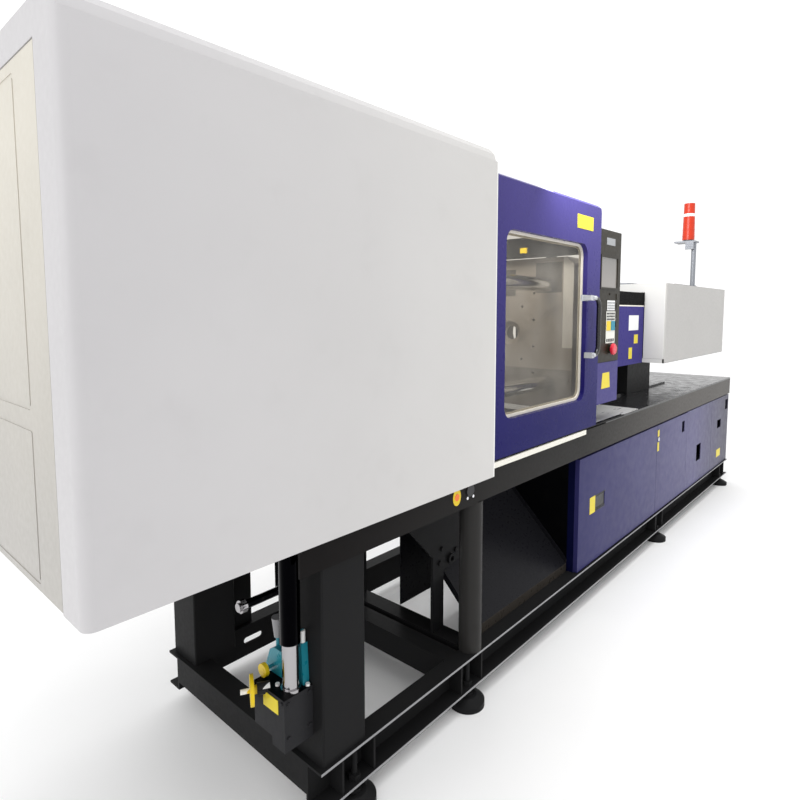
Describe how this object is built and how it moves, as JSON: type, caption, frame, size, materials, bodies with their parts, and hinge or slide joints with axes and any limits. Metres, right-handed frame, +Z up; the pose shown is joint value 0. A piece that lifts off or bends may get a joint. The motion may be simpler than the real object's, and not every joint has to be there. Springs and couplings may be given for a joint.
{
  "type": "injection moulding machine",
  "caption": "Horizontal injection moulding machine with toggle clamp, white clamp cover, sliding safety doors with windows, control box, cabinet bed and injection unit with tower lamp.",
  "frame": {"origin": "on the floor, in the middle of the bounding box's footprint", "axes": "+X from the clamp end to the injection end, -Y towards the operator, +Z up"},
  "size_m": [5.3, 1.03, 2.343],
  "materials": {
    "frame_black": "satin paint",
    "beam_dark": "satin paint",
    "column_grey": "satin paint",
    "table_dark": "gloss paint",
    "plate_light": "brushed",
    "panel_blue": "satin paint",
    "door_blue": "gloss paint",
    "cover_white": "satin paint",
    "end_cream": "satin paint",
    "cast_steel": "machined and painted",
    "bright_steel": "ground",
    "link_steel": "machined",
    "hydraulic_grey": "satin paint",
    "glass": "clear",
    "seal_cream": "matt",
    "grip_black": "gloss",
    "track_black": "satin paint",
    "sill_cream": "brushed",
    "control_grey": "textured paint",
    "screen_grey": "gloss",
    "key_yellow": "matt",
    "key_teal": "matt",
    "stop_red": "gloss",
    "barrel_steel": "heat stained",
    "guard_blue": "gloss paint",
    "stand_grey": "satin paint",
    "lamp_orange": "clear lens",
    "chrome": "polished",
    "pump_teal": "gloss paint"
  },
  "bodies": {
    "machine": {"base_frame": "frame_black", "upper_frame": "beam_dark", "left_legs": "frame_black", "support_columns": "column_grey", "inner_supports": "frame_black", "discharge_chute": "frame_black", "leveling_feet": "frame_black", "table_top": "table_dark", "table_plate": "plate_light", "cabinet_shell": "panel_blue", "oil_tank": "hydraulic_grey", "pump_motor": "hydraulic_grey", "clamp_cover": "cover_white", "end_panels": "end_cream", "fixed_platen": "cast_steel", "rear_platen": "cast_steel", "tie_bars": "bright_steel", "clamp_cylinder": "hydraulic_grey", "door_header": "frame_black", "door_tracks": "track_black", "door_sills": "sill_cream", "control_box": "control_grey", "control_panel": "control_grey", "screen": "screen_grey", "lube_block": "frame_black", "oil_pipes": "chrome", "lube_pump": "pump_teal"},
    "front_door": {"front_door": "door_blue", "front_window": "glass", "front_seal": "seal_cream", "front_handle": "grip_black"},
    "rear_door": {"rear_door": "door_blue", "rear_window": "glass", "rear_handle": "grip_black"},
    "wide_door": {"cabinet_door_wide": "panel_blue"},
    "latch": {"door_latch": "chrome"},
    "narrow_door": {"cabinet_door_narrow": "panel_blue"},
    "lock": {"cabinet_lock": "chrome"},
    "moving_platen": {"moving_platen": "cast_steel"},
    "ejector": {"ejector_rod": "bright_steel"},
    "upper_rear_link": {"upper_rear_link": "link_steel"},
    "upper_front_link": {"upper_front_link": "link_steel"},
    "upper_drive_link": {"upper_drive_link": "link_steel"},
    "lower_rear_link": {"lower_rear_link": "link_steel"},
    "lower_front_link": {"lower_front_link": "link_steel"},
    "lower_drive_link": {"lower_drive_link": "link_steel"},
    "crosshead": {"crosshead": "link_steel"},
    "yellow_key": {"yellow_key": "key_yellow"},
    "teal_key": {"teal_key": "key_teal"},
    "stop_button": {"estop_button": "stop_red"},
    "carriage": {"injection_carriage": "frame_black", "injection_cover": "cover_white", "hopper_throat": "stand_grey", "barrel": "barrel_steel", "tower_stand": "stand_grey", "tower_lamp": "lamp_orange"},
    "screw_drive": {"screw_drive": "hydraulic_grey"},
    "screw": {"screw": "bright_steel"},
    "guard": {"purge_guard": "guard_blue"},
    "lube_knob": {"lube_knob": "key_yellow"}
  },
  "joints": [
    {"name": "front_door_slide", "type": "slide", "parent": "machine", "child": "front_door", "axis": [-1, 0, 0], "range_m": [0, 0.7]},
    {"name": "rear_door_slide", "type": "slide", "parent": "machine", "child": "rear_door", "axis": [-1, 0, 0], "range_m": [0, 0.7]},
    {"name": "wide_door_hinge", "type": "hinge", "parent": "machine", "child": "wide_door", "pos_m": [0.766, -0.445, 0.49], "axis": [0, 0, 1], "range_deg": [0, 88]},
    {"name": "latch_hinge", "type": "hinge", "parent": "wide_door", "child": "latch", "pos_m": [-0.12, -0.44, 0.543], "axis": [-1, 0, 0], "range_deg": [0, 40]},
    {"name": "narrow_door_hinge", "type": "hinge", "parent": "machine", "child": "narrow_door", "pos_m": [1.416, -0.445, 0.49], "axis": [0, 0, 1], "range_deg": [0, 105]},
    {"name": "lock_turn", "type": "hinge", "parent": "narrow_door", "child": "lock", "pos_m": [0.79, -0.445, 0.69], "axis": [0, 1, 0], "range_deg": [0, 90]},
    {"name": "toggle", "type": "hinge", "parent": "machine", "child": "upper_rear_link", "pos_m": [-1.77, 0, 1.49], "axis": [0, 1, 0], "range_deg": [0, 53.6]},
    {"name": "upper_knee", "type": "hinge", "parent": "upper_rear_link", "child": "upper_front_link", "pos_m": [-1.54981, 0, 1.82394], "axis": [0, 1, 0], "range_deg": [-107.2, 0]},
    {"name": "platen_pivot", "type": "hinge", "parent": "upper_front_link", "child": "moving_platen", "pos_m": [-1.32961, 0, 1.49], "axis": [0, 1, 0], "range_deg": [0, 53.6]},
    {"name": "upper_drive", "type": "hinge", "parent": "upper_rear_link", "child": "upper_drive_link", "pos_m": [-1.68192, 0, 1.62358], "axis": [0, 1, 0], "range_deg": [-107.2, 0]},
    {"name": "crosshead_pivot", "type": "hinge", "parent": "upper_drive_link", "child": "crosshead", "pos_m": [-1.59385, 0, 1.49], "axis": [0, 1, 0], "range_deg": [0, 53.6]},
    {"name": "lower_toggle", "type": "hinge", "parent": "machine", "child": "lower_rear_link", "pos_m": [-1.77, 0, 1.31], "axis": [0, 1, 0], "range_deg": [-53.6, 0]},
    {"name": "lower_knee", "type": "hinge", "parent": "lower_rear_link", "child": "lower_front_link", "pos_m": [-1.54981, 0, 0.97606], "axis": [0, 1, 0], "range_deg": [0, 107.2]},
    {"name": "lower_drive", "type": "hinge", "parent": "lower_rear_link", "child": "lower_drive_link", "pos_m": [-1.68192, 0, 1.17642], "axis": [0, 1, 0], "range_deg": [0, 107.2]},
    {"name": "ejector_slide", "type": "slide", "parent": "moving_platen", "child": "ejector", "axis": [1, 0, 0], "range_m": [0, 0.1]},
    {"name": "carriage_slide", "type": "slide", "parent": "machine", "child": "carriage", "axis": [1, 0, 0], "range_m": [0, 0.35]},
    {"name": "screw_stroke", "type": "slide", "parent": "carriage", "child": "screw_drive", "axis": [1, 0, 0], "range_m": [0, 0.18]},
    {"name": "screw_spin", "type": "hinge", "parent": "screw_drive", "child": "screw", "pos_m": [1.6, 0, 1.4], "axis": [1, 0, 0], "continuous": true},
    {"name": "guard_hinge", "type": "hinge", "parent": "carriage", "child": "guard", "pos_m": [0.58, 0.233, 1.645], "axis": [-1, 0, 0], "range_deg": [0, 80]},
    {"name": "stop_press", "type": "slide", "parent": "machine", "child": "stop_button", "axis": [0, 1, 0], "range_m": [0, 0.004], "stiffness_N_per_m": 400},
    {"name": "yellow_press", "type": "slide", "parent": "machine", "child": "yellow_key", "axis": [0, 1, 0], "range_m": [0, 0.0015], "stiffness_N_per_m": 400},
    {"name": "teal_press", "type": "slide", "parent": "machine", "child": "teal_key", "axis": [0, 1, 0], "range_m": [0, 0.0015], "stiffness_N_per_m": 400},
    {"name": "knob_turn", "type": "hinge", "parent": "machine", "child": "lube_knob", "pos_m": [-2.158, -0.282, 0.432], "axis": [0.866, -0.5, 0], "range_deg": [0, 90]}
  ],
  "couplings": [
    {"joint": "upper_knee", "follows": "toggle", "ratio": -2},
    {"joint": "platen_pivot", "follows": "toggle", "ratio": 1},
    {"joint": "upper_drive", "follows": "toggle", "ratio": -2},
    {"joint": "crosshead_pivot", "follows": "toggle", "ratio": 1},
    {"joint": "lower_toggle", "follows": "toggle", "ratio": -1},
    {"joint": "lower_knee", "follows": "toggle", "ratio": 2},
    {"joint": "lower_drive", "follows": "toggle", "ratio": 2}
  ]
}
